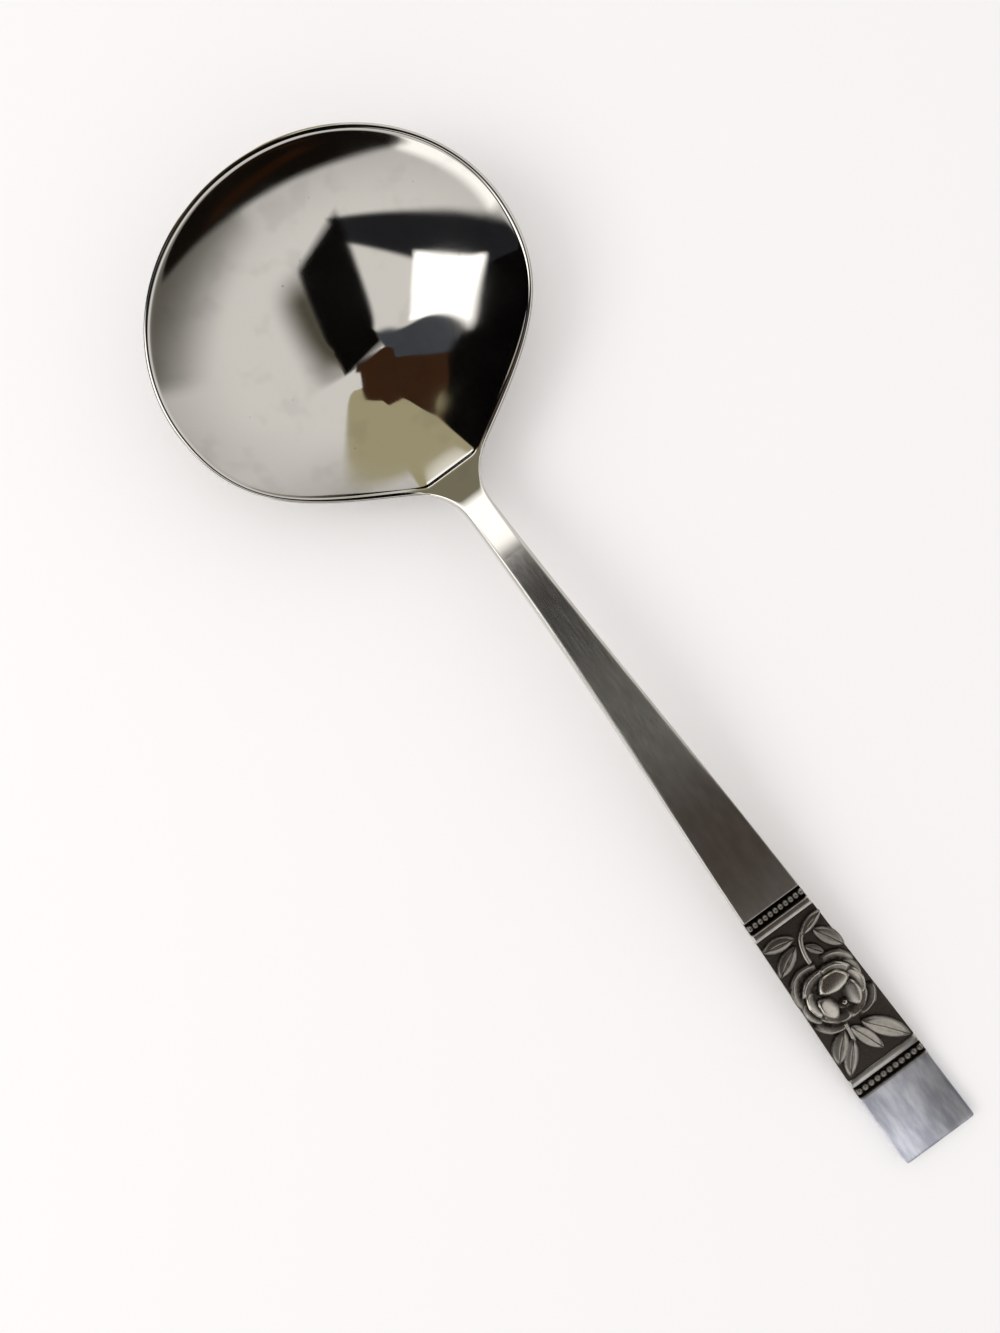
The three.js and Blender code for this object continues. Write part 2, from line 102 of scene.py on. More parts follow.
ornament_end = end_run - tip_length
ornament_length = 2 * (groove_width + bar_width) + panel_length
ornament_start = ornament_end - ornament_length * cos(slope)
ornament_mid = (ornament_start + ornament_end) / 2
level_run = end_run - tip_level
crease_run = -crease_y(wall)
fall = tan(slope)
ornament_end_top = tip_thick + fall * (level_run - ornament_end) / 2
ornament_start_top = ornament_end_top + fall * (ornament_end - ornament_start)


def lerp(start, end, share):
    return start + (end - start) * share


def smooth(start, end, at):
    share = min(1.0, max(0.0, (at - start) / (end - start)))
    return share * share * (3 - 2 * share)


def ease(start, end, start_slope, end_slope, length, at):
    """A curve between two values that starts and ends with the given slopes."""
    u = at / length
    v = 1 - u
    first = start * (1 + 2 * u) + start_slope * length * u
    last = end * (1 + 2 * v) - end_slope * length * v
    return v * v * first + u * u * last


def handle_half(run):
    if run < neck_run:
        back = neck_run - max(run, -fillet_start.y)
        return neck_half + neck_fillet - sqrt(neck_fillet ** 2 - back ** 2)
    taper = (ornament_end_half - ornament_start_half) / (ornament_end - ornament_start)
    if run < ornament_start:
        return ease(neck_half, ornament_start_half, 0, taper, ornament_start - neck_run, run - neck_run)
    if run < ornament_end:
        return ornament_start_half + taper * (run - ornament_start)
    return lerp(ornament_end_half, tip_half, (run - ornament_end) / tip_length)


def handle_top(run):
    if run > level_run:
        return tip_thick
    if run > ornament_end:
        return tip_thick + fall * (level_run - run) ** 2 / (2 * (level_run - ornament_end))
    if run > ornament_start:
        return ornament_end_top + fall * (ornament_end - run)
    length = ornament_start - crease_run
    return ease(rim_top(-crease_run), ornament_start_top, tan(neck_rise), -fall, length, run - crease_run)


def handle_thick(run):
    if run < neck_run:
        return lerp(shoulder_thick, neck_thick, smooth(crease_run, neck_run, run))
    return lerp(neck_thick, tip_thick, min(1, (run - neck_run) / (level_run - neck_run)))


# Outline of the bowl: crease, straight shoulder, rounded side, and the far half of an oval. Its columns are
# counted from the middle of the crease, below 0 to the left and above 0 to the right.
half_width = bowl_high.x
far_end = bowl_high.y
side_roundness = 13.3
shoulder_roundness = 15.3
CREASE_COLUMNS, SIDE_COLUMNS, FAR_COLUMNS = 2, 20, 25
CREASE_SHARES = (0, 0.72, 1)
SHOULDER_COLUMN = CREASE_COLUMNS + 1
HALF_COLUMNS = SHOULDER_COLUMN + SIDE_COLUMNS + FAR_COLUMNS


def rim_point(column, inset):
    step = abs(column)
    end = shoulder_end(inset)
    side = Vector((half_width - inset, widest_y))
    corner = Vector((lerp(handle_half(-crease_y(0)), crease_half, inset / wall), crease_y(inset)))
    if step <= CREASE_COLUMNS:
        point = Vector((corner.x * CREASE_SHARES[step], corner.y))
    elif step <= SHOULDER_COLUMN + SIDE_COLUMNS:
        u = (step - SHOULDER_COLUMN) / SIDE_COLUMNS
        v = 1 - u
        pull = end + shoulder_roundness * shoulder_dir
        above = side - Vector((0, side_roundness))
        point = v ** 3 * end + 3 * v * v * u * pull + 3 * v * u * u * above + u ** 3 * side
    else:
        turn = (step - SHOULDER_COLUMN - SIDE_COLUMNS) / FAR_COLUMNS * pi / 2
        point = Vector((side.x * cos(turn), widest_y + (far_end - inset - widest_y) * sin(turn)))
    return Vector((copysign(point.x, column), point.y))


# The floor of the bowl starts as a grid, drawn to a rounded square whose edge has one vertex for each column
GRID = HALF_COLUMNS // 2
FLOOR_SPREAD = 0.17
FLOOR_SQUARENESS = 0.1
FLOOR_INSIDE = 0.75
SMOOTHING_ROUNDS = 60
GRID_EDGE = 0.999
blank = bmesh.new()
column_of = blank.verts.layers.int.new("column")
level_of = blank.verts.layers.int.new("level")
black_of = blank.verts.layers.float.new("blackened")


def bowl_reach(y, inset):
    """How far the bowl reaches from its middle, to the far rim or to the crease."""
    return far_end - inset if y > 0 else -crease_y(inset)


def column_direction(column, inset=wall):
    rim = rim_point(column, inset)
    return Vector((rim.x / (half_width - inset), rim.y / bowl_reach(rim.y, inset))).normalized()


def floor_edge_plan(column):
    """A point of the rounded square, in shares of the bowl's half width and reach."""
    squareness = 1 - FLOOR_SQUARENESS * cos(4 * pi * column / HALF_COLUMNS)
    return FLOOR_SPREAD * squareness * column_direction(column)


def edge_column(x, y):
    """The column that a vertex on the edge of the grid belongs to."""
    if y < -GRID_EDGE:
        along = abs(x)
    elif y > GRID_EDGE:
        along = 4 - abs(x)
    else:
        along = 2 + y
    return round(copysign(along * HALF_COLUMNS / 4, x))


def open_edges(mesh):
    return [item for item in mesh.edges if item.is_boundary]


def new_verts(made):
    return [item for item in made["geom"] if isinstance(item, bmesh.types.BMVert)]


bmesh.ops.create_grid(blank, x_segments=GRID, y_segments=GRID, size=1)
floor_verts = list(blank.verts)
floor_edge = open_edges(blank)
for vert in floor_verts:
    if vert.is_boundary:
        column = edge_column(vert.co.x, vert.co.y)
        vert[column_of] = column
        vert.co = floor_edge_plan(column).to_3d()
    else:
        vert.co *= FLOOR_INSIDE * FLOOR_SPREAD
inside = [vert for vert in floor_verts if not vert.is_boundary]
for _ in range(SMOOTHING_ROUNDS):
    bmesh.ops.smooth_vert(blank, verts=inside, factor=0.5, use_axis_x=True, use_axis_y=True)
base_verts = new_verts(bmesh.ops.duplicate(blank, geom=blank.faces[:]))


# Wall of the bowl: an arc from the floor to the rim, steeper at the far end and flared at the neck. The two
# pairs say where along the bowl that changes, from -1 at the crease to 1 at the far rim.
rim_round = 0.35
near_arc = radians(18)
far_arc = radians(50)
near_flare = 0.45
ARC_CHANGE = (-0.3, 0.9)
FLARE_FADE = (-0.5, 0.1)
OUTLINE_POWER = 1.2


def bowl_point(direction, spread, rim, inset, floor, flat):
    """A point on a wall of the bowl, at a share of the way out from the middle of its floor."""
    arc = lerp(near_arc, far_arc, smooth(*ARC_CHANGE, direction.y))
    start = cos(asin(flat * sin(arc)))
    climb = (start - cos(asin(min(1, spread) * sin(arc)))) / (start - cos(arc))
    climb += near_flare * (1 - smooth(*FLARE_FADE, direction.y)) * (1 - spread) * spread ** 2
    oval = Vector((direction.x * (half_width - inset), direction.y * bowl_reach(direction.y, inset)))
    rim = rim or oval
    level = oval.lerp(rim, spread ** OUTLINE_POWER) * spread
    return level.to_3d() + Vector((0, 0, lerp(floor, rim_top(rim.y) - rim_round, climb)))


for vert in floor_verts:
    spread = vert.co.length
    direction = vert.co.to_2d().normalized() if spread > 1e-6 else Vector((0, 1))
    vert.co = bowl_point(direction, spread, None, wall, wall, 0)
for vert in base_verts:
    vert.co = (vert.co.x * half_width, vert.co.y * bowl_reach(vert.co.y, 0), 0)


# Ring by ring the open edge is drawn up the inner wall, over the rim and down the outer wall to the base
def draw_ring(edges, place):
    made = bmesh.ops.extrude_edge_only(blank, edges=edges)
    verts = new_verts(made)
    for vert in verts:
        vert.co = place(vert)
    new = set(verts)
    drawn = [item for item in made["geom"] if isinstance(item, bmesh.types.BMEdge)]
    return [item for item in drawn if new.issuperset(item.verts)]


def wall_ring(edges, spread, inset, floor, flat):
    def place(vert):
        column = vert[column_of]
        rim = rim_point(column, inset)
        return bowl_point(column_direction(column, inset), spread, rim, inset, floor, flat)

    return draw_ring(edges, place)


def on_shoulder(vert):
    return abs(vert[column_of]) <= CREASE_COLUMNS


def rim_ring(edges, inset, drop, level):
    def place(vert):
        vert[level_of] = level
        rim = rim_point(vert[column_of], inset)
        height = handle_top(-rim.y) if on_shoulder(vert) and -rim.y > crease_run else rim_top(rim.y) - drop
        return Vector((rim.x, rim.y, height))

    return draw_ring(edges, place)


def lip_ring(edges, spread, share, level):
    def place(vert):
        vert[level_of] = level
        column = vert[column_of]
        rim = rim_point(column, 0)
        if on_shoulder(vert):
            return Vector((rim.x, rim.y, handle_top(-rim.y) - share * handle_thick(-rim.y)))
        return bowl_point(column_direction(column, 0), spread, rim, 0, 0, base_share)

    return draw_ring(edges, place)


# Rings in shares of the way out, closer together where the wall bends more
INNER_RINGS = (0.25, 0.33, 0.41, 0.49, 0.57, 0.64, 0.71, 0.775, 0.84, 0.895, 0.945, 0.98, 1)
OUTER_RINGS = (0.92, 0.865, 0.805, 0.74, 0.67, 0.6, 0.53, 0.455, 0.38, 0.31, 0.25)
TOP, MIDDLE, BOTTOM = 1, 2, 3
LIP_RINGS = ((0.985, 0.5, MIDDLE), (0.96, 1, BOTTOM))
WELD = 0.001
base_flat = 6.0
base_share = base_flat / half_width
edge = floor_edge
for spread in INNER_RINGS:
    edge = wall_ring(edge, spread, wall, wall, 0)
edge = rim_ring(edge, wall - rim_round, 0, 0)
edge = rim_ring(edge, rim_round, 0, 0)
edge = rim_ring(edge, 0, rim_round, TOP)
for spread, share, level in LIP_RINGS:
    edge = lip_ring(edge, spread, share, level)
for spread in OUTER_RINGS + (base_share,):
    edge = wall_ring(edge, spread, 0, 0, base_share)


def base_ring_place(vert):
    plan = floor_edge_plan(vert[column_of])
    return Vector((plan.x * half_width, plan.y * bowl_reach(plan.y, 0), 0))


edge = draw_ring(edge, base_ring_place)
bmesh.ops.remove_doubles(blank, verts=blank.verts, dist=WELD)

# The shoulder is opened, and its edge is drawn out into the neck, the shank, the ornament and the tip
opened = [face for face in blank.faces
          if all(on_shoulder(vert) and vert[level_of] >= TOP for vert in face.verts)]
bmesh.ops.delete(blank, geom=opened, context="FACES")
edge = open_edges(blank)

shank_edge = 0.75
tip_edge = 0.3
groove_depth = 0.55
panel_depth = 0.6
to_ornament = (Matrix.Translation((0, -ornament_mid, handle_top(ornament_mid)))
               @ Matrix.Rotation(slope, 4, "X"))


def section_point(vert, half, corner, top, thick):
    column = vert[column_of]
    across = copysign((0, half - corner, half)[abs(column)], column)
    return across, top - thick * (vert[level_of] - TOP) / 2


BLACK_FROM = 0.2


def bar_ring(edges, run, draw_in=0.0, sink=0.0):
    """A plain section of the handle, made smaller where the tip ends."""
    corner = lerp(shank_edge, tip_edge, smooth(neck_run, ornament_start, run))
    half = handle_half(run) - draw_in

    def place(vert):
        vert[black_of] = 0
        x, z = section_point(vert, half, corner, handle_top(run) - sink, handle_thick(run) - sink)
        return Vector((x, -run, z))

    return draw_ring(edges, place)


def ornament_ring(edges, y, sunk):
    """A section square to the ornament's slope, blackened on top where it is sunk."""
    run = ornament_mid - y * cos(slope)

    def place(vert):
        vert[black_of] = 1 if sunk > BLACK_FROM and vert[level_of] == TOP else 0
        x, z = section_point(vert, handle_half(run), tip_edge, -sunk, handle_thick(run) - sunk)
        return to_ornament @ Vector((x, y, z))

    return draw_ring(edges, place)


SHANK_RUNS = (24.5, 25.6, 26.9, 28.2, 29.5, 31.5, 35, 39.5, 45, 51, 58, 65, 73, 81, 89, 95, 99, 100.8)
TIP_RUNS = (137, 138.5, 140.5, 142.5, 145, 147.2)
END_ROUNDING = ((0.7, 0, 0), (0.2, 0.12, 0.15), (0, 0.6, 0.7))
for run in SHANK_RUNS:
    edge = bar_ring(edge, run)
panel_top = panel_length / 2
groove_in = panel_top + bar_width
groove_out = groove_in + groove_width
groove_mid = (groove_in + groove_out) / 2
bar_mid = (panel_top + groove_in) / 2
STEP = 0.07
BAR_CROWN = 0.1
steps = (
    (groove_out, 0, groove_depth),
    (groove_in, groove_depth, 0),
    (panel_top, 0, panel_depth),
    (-panel_top, panel_depth, 0),
    (-groove_in, 0, groove_depth),
    (-groove_out, groove_depth, 0),
)
stations = [(bar_mid, -BAR_CROWN), (-bar_mid, -BAR_CROWN)]
for y, before, after in steps:
    stations += [(y + 3 * STEP, before), (y + STEP, before), (y - STEP, after), (y - 3 * STEP, after)]
for y, sunk in sorted(stations, reverse=True):
    edge = ornament_ring(edge, y, sunk)
for run in TIP_RUNS:
    edge = bar_ring(edge, run)
for back, draw_in, sink in END_ROUNDING:
    edge = bar_ring(edge, end_run - back, draw_in, sink)
bmesh.ops.edgeloop_fill(blank, edges=edge)
bmesh.ops.recalc_face_normals(blank, faces=blank.faces)
bmesh.ops.scale(blank, vec=(MM, MM, MM), verts=blank.verts)


def add_piece(name, mesh):
    data = bpy.data.meshes.new(name)
    mesh.to_mesh(data)
    mesh.free()
    data.shade_smooth()
    piece = bpy.data.objects.new(name, data)
    bpy.context.scene.collection.objects.link(piece)
    return piece


def settled(piece, levels):
    """Subdivides a piece and keeps the result as its mesh."""
    finish = piece.modifiers.new("rounding", "SUBSURF")
    finish.levels = finish.render_levels = levels
    graph = bpy.context.evaluated_depsgraph_get()
    data = bpy.data.meshes.new_from_object(piece.evaluated_get(graph))
    piece.modifiers.clear()
    piece.data = data
    return piece


ROUNDING_LEVELS = 2
EDGE_ANGLE = radians(60)
polish_border = bowl_low.y
struck = settled(add_piece("struck_blank", blank), ROUNDING_LEVELS)


def part_off(name, towards_handle):
    """Keeps the blank on one side of the border of the polish and closes the cut."""
    piece = bmesh.new()
    piece.from_mesh(struck.data)
    cut = bmesh.ops.bisect_plane(
        piece, geom=piece.verts[:] + piece.edges[:] + piece.faces[:], plane_co=(0, polish_border * MM, 0),
        plane_no=(0, 1, 0), clear_inner=not towards_handle, clear_outer=towards_handle)
    loop = [item for item in cut["geom_cut"] if isinstance(item, bmesh.types.BMEdge)]
    bmesh.ops.edgeloop_fill(piece, edges=loop)
    bmesh.ops.recalc_face_normals(piece, faces=piece.faces)
    made = add_piece(name, piece)
    made.data.set_sharp_from_angle(angle=EDGE_ANGLE)
    return made


bowl = part_off("drawn_bowl", False)
handle = part_off("satin_handle", True)
bpy.data.objects.remove(struck)


def linear(code):
    """An sRGB hex value as linear red, green, blue and alpha."""
    values = [int(code[at:at + 2], 16) / 255 for at in (1, 3, 5)]
    return [v / 12.92 if v <= 0.04045 else ((v + 0.055) / 1.055) ** 2.4 for v in values] + [1]


def add_node(tree, kind, settings=None, **inputs):
    """Adds a node with its settings, and sets or links its inputs by name."""
    node = tree.nodes.new(kind)
    for name, value in (settings or {}).items():
        setattr(node, name, value)
    for name, value in inputs.items():
        socket = node.inputs[int(name[1:])] if name[0] == "_" else node.inputs[name.replace("_", " ")]
        if isinstance(value, bpy.types.NodeSocket):
            tree.links.new(value, socket)
        else:
            socket.default_value = value
    return node


SOFT_STEP = {"interpolation_type": "SMOOTHSTEP"}
COLOURS = {"data_type": "RGBA"}


def new_material(name):
    material = bpy.data.materials.new(name)
    material.use_nodes = True
    material.node_tree.nodes.clear()
    return material, material.node_tree


# Mirror-polished stainless steel: drawn, then buffed bright, so it mirrors its surroundings sharply. Years of
# washing have left hair scratches and a few pits, which show as slight haze and small grey specks. The hair
# scratches are drawn coarser than real ones, so that they show.
SPECK_SPACING = 3.5 * MM
HAZE = 9 * MM
SMEAR = 5 * MM
HAIR = 0.12 * MM
HAIR_STRETCH = 0.02
HAIR_TURN = (0.3, 0.2, 0.6)
BORDER_HAZE = 0.13
mirror, tree = new_material("mirror_polished_steel")
place = add_node(tree, "ShaderNodeTexCoord").outputs["Object"]
haze = add_node(tree, "ShaderNodeTexNoise", Vector=place, Scale=1 / HAZE, Detail=3)
specks = add_node(tree, "ShaderNodeTexVoronoi", Vector=place, Scale=1 / SPECK_SPACING)
speck_size = add_node(tree, "ShaderNodeMapRange", Value=haze.outputs["Fac"], From_Min=0.4, From_Max=0.65,
                      To_Min=0.015, To_Max=0.1)
speck = add_node(tree, "ShaderNodeMapRange", SOFT_STEP, Value=specks.outputs["Distance"],
                 From_Min=0.01, From_Max=speck_size.outputs[0], To_Min=1, To_Max=0)
smears = add_node(tree, "ShaderNodeTexNoise", Vector=place, Scale=1 / SMEAR, Detail=2)
smear = add_node(tree, "ShaderNodeMapRange", SOFT_STEP, Value=smears.outputs["Fac"],
                 From_Min=0.5, From_Max=0.72)
clean = add_node(tree, "ShaderNodeMix", COLOURS, Factor=smear.outputs[0],
                 _6=linear("#CFCBC4"), _7=linear("#C7C3BC"))
hair_lie = add_node(tree, "ShaderNodeMapping", Vector=place, Rotation=HAIR_TURN, Scale=(1, HAIR_STRETCH, 1))
hairs = add_node(tree, "ShaderNodeTexNoise", Vector=hair_lie.outputs[0], Scale=1 / HAIR, Detail=2)
buffed = add_node(tree, "ShaderNodeMapRange", Value=haze.outputs["Fac"], From_Min=0.35, From_Max=0.7,
                  To_Min=0.035, To_Max=0.075)
along = add_node(tree, "ShaderNodeSeparateXYZ", Vector=place)
to_border = add_node(tree, "ShaderNodeMapRange", SOFT_STEP, Value=along.outputs["Y"],
                     From_Min=-neck_run * MM, From_Max=polish_border * MM, To_Min=0, To_Max=BORDER_HAZE)
rough = add_node(tree, "ShaderNodeMath", {"operation": "ADD"}, _0=buffed.outputs[0], _1=to_border.outputs[0])
tone = add_node(tree, "ShaderNodeMix", COLOURS, Factor=speck.outputs[0],
                _6=clean.outputs[2], _7=linear("#A7A39C"))
worn = add_node(tree, "ShaderNodeBump", Height=hairs.outputs["Fac"], Strength=0.02, Distance=0.02 * MM)
shader = add_node(tree, "ShaderNodeBsdfPrincipled", Base_Color=tone.outputs[2], Metallic=1,
                  Roughness=rough.outputs[0], Normal=worn.outputs[0])
add_node(tree, "ShaderNodeOutputMaterial", Surface=shader.outputs[0])
bowl.data.materials.append(mirror)
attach(bowl, "root")
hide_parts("bowl")

# Satin stainless steel: brushed along the handle, so that it mirrors only soft, drawn-out tones. It is
# smoother towards the neck and frosted at the tip, where its colour is painted paler and cooler as a painted
# reflection of cool light. The grain is drawn coarser than real brushing, so that it shows.
GRAIN = 0.16 * MM
GRAIN_STRETCH = 0.02
STREAK = 1.3 * MM
STREAK_STRETCH = 0.25
SATIN_RUN = 30
TIP_CHANGE = 1
satin, tree = new_material("satin_brushed_steel")
place = add_node(tree, "ShaderNodeTexCoord").outputs["Object"]
along = add_node(tree, "ShaderNodeSeparateXYZ", Vector=place)
grain_lie = add_node(tree, "ShaderNodeMapping", Vector=place, Scale=(1, GRAIN_STRETCH, 1))
grain = add_node(tree, "ShaderNodeTexNoise", Vector=grain_lie.outputs[0], Scale=1 / GRAIN, Detail=3)
streak_lie = add_node(tree, "ShaderNodeMapping", Vector=place, Scale=(1, STREAK_STRETCH, 1))
streak = add_node(tree, "ShaderNodeTexNoise", Vector=streak_lie.outputs[0], Scale=1 / STREAK, Detail=4)
to_tip = add_node(tree, "ShaderNodeMapRange", SOFT_STEP, Value=along.outputs["Y"],
                  From_Min=(-ornament_end + TIP_CHANGE) * MM, From_Max=(-ornament_end - TIP_CHANGE) * MM)
to_satin = add_node(tree, "ShaderNodeMapRange", SOFT_STEP, Value=along.outputs["Y"],
                    From_Min=polish_border * MM, From_Max=(polish_border - SATIN_RUN) * MM)
brushed = add_node(tree, "ShaderNodeMix", Factor=to_satin.outputs[0], A=0.14, B=0.25)
rough = add_node(tree, "ShaderNodeMix", Factor=to_tip.outputs[0], A=brushed.outputs[0], B=0.4)
uneven = add_node(tree, "ShaderNodeMath", {"operation": "MULTIPLY_ADD"}, _0=grain.outputs["Fac"], _1=0.14,
                  _2=rough.outputs[0])
patch = add_node(tree, "ShaderNodeMapRange", Value=streak.outputs["Fac"], From_Min=0.35, From_Max=0.65)
tone = add_node(tree, "ShaderNodeMix", COLOURS, Factor=patch.outputs[0],
                _6=linear("#D2CFC9"), _7=linear("#C4C0B8"))
# Painted reflection: the tip's colour is painted pale and bluish, standing in for cool light that it mirrors;
# its frosting is real and set by roughness.
frosted_painted_reflection = add_node(tree, "ShaderNodeMix", COLOURS, Factor=patch.outputs[0],
                   _6=linear("#EDEEF3"), _7=linear("#C2C3CC"))
metal = add_node(tree, "ShaderNodeMix", COLOURS, Factor=to_tip.outputs[0], _6=tone.outputs[2],
                 _7=frosted_painted_reflection.outputs[2])
groove = add_node(tree, "ShaderNodeAttribute", {"attribute_name": "blackened"})
finish = add_node(tree, "ShaderNodeMix", COLOURS, Factor=groove.outputs["Fac"], _6=metal.outputs[2],
                  _7=linear("#1F1B17"))
lines = add_node(tree, "ShaderNodeMath", {"operation": "MULTIPLY"}, _0=to_satin.outputs[0], _1=0.14)
worn = add_node(tree, "ShaderNodeBump", Height=grain.outputs["Fac"], Strength=lines.outputs[0],
                Distance=0.03 * MM)
shader = add_node(tree, "ShaderNodeBsdfPrincipled", Base_Color=finish.outputs[2], Metallic=1,
                  Roughness=uneven.outputs[0], Normal=worn.outputs[0])
add_node(tree, "ShaderNodeOutputMaterial", Surface=shader.outputs[0])
handle.data.materials.append(satin)
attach(handle, "root")
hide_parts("handle")


# Panel ground. The sunk floor of the ornament is struck with a fine stipple and blackened, so that the rose
# stands out from it. It is a thin skin on the handle, as wide as the handle is there.
GROUND_TOP = -0.2
GROUND_UNDER = -0.5
GROUND_CELLS = (48, 108)
GROUND_END_GAP = 0.1
GROUND_SIDE_GAP = 0.02
GROUND_EDGE_FALL = 0.12
STIPPLE_HEIGHT = 0.015
RELIEF_ANGLE = radians(50)


def stipple_at(x, y):
    """Uneven punch marks: two crossed waves, each bent by a slower one."""
    return STIPPLE_HEIGHT * sin(37 * x + 5 * sin(9 * y)) * sin(81 * y + 4 * sin(7 * x))


def set_in_panel(name, mesh, crisp=True):
    """Turns a mesh made in the ornament's own frame into a piece on the handle."""
    bmesh.ops.recalc_face_normals(mesh, faces=mesh.faces)
    bmesh.ops.transform(mesh, matrix=Matrix.Scale(MM, 4) @ to_ornament, verts=mesh.verts)
    piece = add_piece(name, mesh)
    if crisp:
        piece.data.set_sharp_from_angle(angle=RELIEF_ANGLE)
    return piece


ground_mesh = bmesh.new()
bmesh.ops.create_grid(ground_mesh, x_segments=GROUND_CELLS[0], y_segments=GROUND_CELLS[1], size=1)
for vert in ground_mesh.verts:
    y = vert.co.y * (panel_top - GROUND_END_GAP)
    half = handle_half(ornament_mid - y * cos(slope)) - GROUND_SIDE_GAP
    edge_fall = GROUND_EDGE_FALL * smooth(0.9, 1, abs(vert.co.x))
    vert.co = (vert.co.x * half, y, GROUND_TOP + stipple_at(vert.co.x, vert.co.y) - edge_fall)
for vert in new_verts(bmesh.ops.extrude_edge_only(ground_mesh, edges=open_edges(ground_mesh))):
    vert.co.z = GROUND_UNDER
bmesh.ops.edgeloop_fill(ground_mesh, edges=open_edges(ground_mesh))
ground = set_in_panel("blackened_ground", ground_mesh)

# Blackened stainless steel: oxidised and left matt, so it shows as a dark, warm brown with little sheen
STIPPLE = 0.35 * MM
black, tree = new_material("blackened_steel")
place = add_node(tree, "ShaderNodeTexCoord").outputs["Object"]
stipple = add_node(tree, "ShaderNodeTexNoise", Vector=place, Scale=1 / STIPPLE, Detail=4)
tone = add_node(tree, "ShaderNodeMix", COLOURS, Factor=stipple.outputs["Fac"],
                _6=linear("#2B241E"), _7=linear("#4A423A"))
pits = add_node(tree, "ShaderNodeBump", Height=stipple.outputs["Fac"], Strength=0.4, Distance=0.06 * MM)
shader = add_node(tree, "ShaderNodeBsdfPrincipled", Base_Color=tone.outputs[2], Metallic=0.7, Roughness=0.5,
                  Normal=pits.outputs[0])
add_node(tree, "ShaderNodeOutputMaterial", Surface=shader.outputs[0])
ground.data.materials.append(black)
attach(ground, "root")
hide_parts("panel_ground")


# Rose. It is struck in relief: outer petals lie low and spread to the panel's edges, inner ones stand higher
# round an open bud with a pearl in it. Rubbing has kept the lips bright, and black has stayed in the hollows;
# the hollows and feet are also painted darker by height, as painted shade.
RELIEF_SINK = 0.05
RELIEF_FOOT = GROUND_TOP - RELIEF_SINK
BLADE_CELLS = 20
PETAL_BREADTH = 1.08
PETAL_FLARE = 0.15
PETAL_CUP = 0.34
PETAL_FALL = (-0.8, 0.75)
PETAL_CORNERS = 5
PETAL_FOLD = 0.5
PETAL_ROLL = 0.35
PETAL_ROLL_FROM = 0.72
PETAL_SHADE_TO_RUBBED = (0.32, 0.72)
PAINTED_HOLLOW_SHADE = 0.05


def new_relief():
    """A mesh that holds how bright each vertex is: rubbed bright where it stands high, with painted shade
    where it lies low.
    """
    mesh = bmesh.new()
    mesh.verts.layers.float.new("worn")
    return mesh


def close_to_ground(mesh, edges):
    """Draws an open edge straight down to the ground and closes it there, with its foot set darkest:
    blackened, and painted shade where the wall meets the ground.
    """
    worn = mesh.verts.layers.float["worn"]
    foot = set(new_verts(bmesh.ops.extrude_edge_only(mesh, edges=edges)))
    for vert in foot:
        vert.co.z = RELIEF_FOOT
        # Painted shade at the foot of the wall, on top of the blackening
        vert[worn] = 0
    bmesh.ops.edgeloop_fill(mesh, edges=[edge for edge in mesh.edges if foot.issuperset(edge.verts)])


def add_blade(mesh, at, towards, length, width, outline, rise, rub_and_shade):
    """A petal or leaf: a grid drawn to its outline and raised, with a wall down to the ground."""
    worn = mesh.verts.layers.float["worn"]
    turn = Matrix.Rotation(towards, 2)
    grid = bmesh.ops.create_grid(mesh, x_segments=BLADE_CELLS, y_segments=BLADE_CELLS, size=1)["verts"]
    for vert in grid:
        u, v = vert.co.x, vert.co.y
        along, across = u * sqrt(1 - v * v / 2), v * sqrt(1 - u * u / 2)
        reach = sqrt(along * along + across * across)
        x, y = outline(along, across, reach)
        plan = turn @ Vector((x * length / 2, y * width / 2)) + Vector(at)
        vert.co = (plan.x, plan.y, RELIEF_FOOT + rise(along, across, reach))
        vert[worn] = rub_and_shade(along, across, reach)
    close_to_ground(mesh, list({edge for vert in grid for edge in vert.link_edges if edge.is_boundary}))


def add_petal(mesh, x, y, towards, length, width, lip, heart, cup=PETAL_CUP):
    """A petal that falls away from its rolled lip towards the heart of the rose; a cup below 0 is a dome."""
    def outline(along, across, reach):
        turn = atan2(across, along) % (2 * pi / PETAL_CORNERS) - pi / PETAL_CORNERS
        fold = lerp(1, cos(pi / PETAL_CORNERS) / cos(turn), PETAL_FOLD * reach * reach)
        return along * fold, across * fold * (PETAL_BREADTH + PETAL_FLARE * along)

    def rise(along, across, reach):
        fall = lerp(heart, lip, smooth(*PETAL_FALL, along))
        hollow = cup * (1 - reach * reach)
        return fall - hollow - PETAL_ROLL * smooth(PETAL_ROLL_FROM, 1, reach) ** 2

    # Painted shade: the lower a point of the petal lies, the darker it is painted, on top of the blackening;
    # the lips are rubbed bright.
    def rub_and_shade(along, across, reach):
        return lerp(PAINTED_HOLLOW_SHADE, 1, smooth(*PETAL_SHADE_TO_RUBBED, rise(along, across, reach)))

    add_blade(mesh, (x, y), radians(towards), length, width, outline, rise, rub_and_shade)


